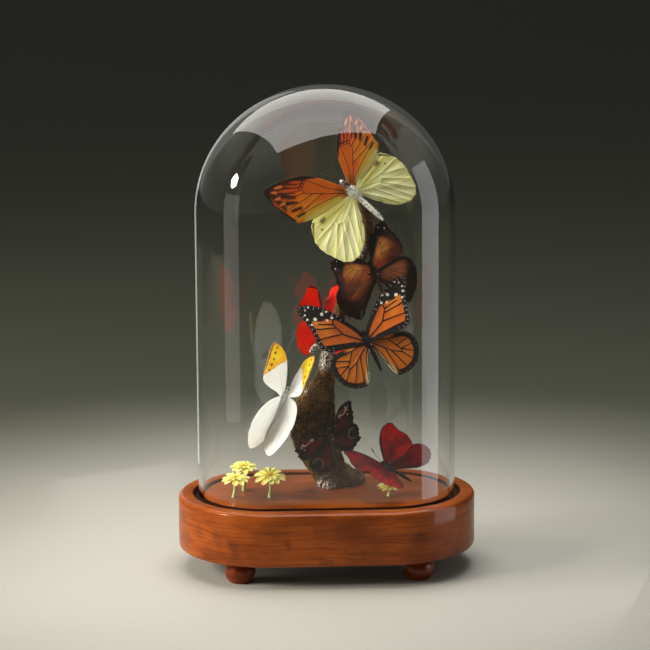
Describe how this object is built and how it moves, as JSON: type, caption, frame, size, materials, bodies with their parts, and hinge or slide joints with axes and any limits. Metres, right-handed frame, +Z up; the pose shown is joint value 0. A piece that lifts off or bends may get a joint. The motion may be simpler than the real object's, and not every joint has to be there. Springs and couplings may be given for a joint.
{
  "type": "insect in glass dome",
  "caption": "Tall oval glass dome on a lacquered wooden plinth with bun feet, over spread butterflies pinned to a driftwood branch among small yellow flowers.",
  "frame": {"origin": "centre of the overall box at the height of the undersides of the feet", "axes": "+Z up through the dome, +X along the plinth's long side to the right seen from the front, +Y towards the back"},
  "size_m": [0.208, 0.127, 0.3403],
  "materials": {
    "lacquered_wood": "reddish-brown lacquered wood with fine horizontal grain and dark knots, glossy clear coat",
    "clear_glass": "clear colourless blown glass, smooth, IOR 1.5",
    "orange_tip_wings": "dry scaled wing membrane: orange and yellow fore wings with dark veins, tips and spots, pale yellow hind wings, fluffy white body",
    "leafwing_wings": "dry scaled wing membrane: brown with orange-tan patches and near-black wing tips",
    "monarch_wings": "dry scaled wing membrane: orange cells between black veins, black borders with rows of white dots",
    "red_glider_high_wings": "dry scaled wing membrane: bright red with black tips",
    "yellow_tip_wings": "dry scaled wing membrane: white with yellow tips and rows of dark dots",
    "peacock_wings": "dry scaled wing membrane: dark maroon with eye spots and dark scalloped margins",
    "red_glider_low_wings": "dry scaled wing membrane: deep red with thin dark margins",
    "bark": "rough weathered driftwood bark, brown with pale cream patches",
    "petals": "pale yellow dried petals round a darker yellow heart",
    "stem_green": "matte pale green stem"
  },
  "bodies": {
    "root": {"plinth": "lacquered_wood", "foot_front_left": "lacquered_wood", "foot_back_left": "lacquered_wood", "foot_front_right": "lacquered_wood", "foot_back_right": "lacquered_wood", "glass_dome": "clear_glass", "orange_tip": "orange_tip_wings", "leafwing": "leafwing_wings", "monarch": "monarch_wings", "red_glider_high": "red_glider_high_wings", "yellow_tip": "yellow_tip_wings", "peacock": "peacock_wings", "red_glider_low": "red_glider_low_wings", "branch": "bark", "branch_twig": "bark", "flower_head_1": "petals", "flower_stem_1": "stem_green", "flower_head_2": "petals", "flower_stem_2": "stem_green", "flower_head_3": "petals", "flower_stem_3": "stem_green", "flower_head_4": "petals", "flower_stem_4": "stem_green"}
  },
  "joints": []
}
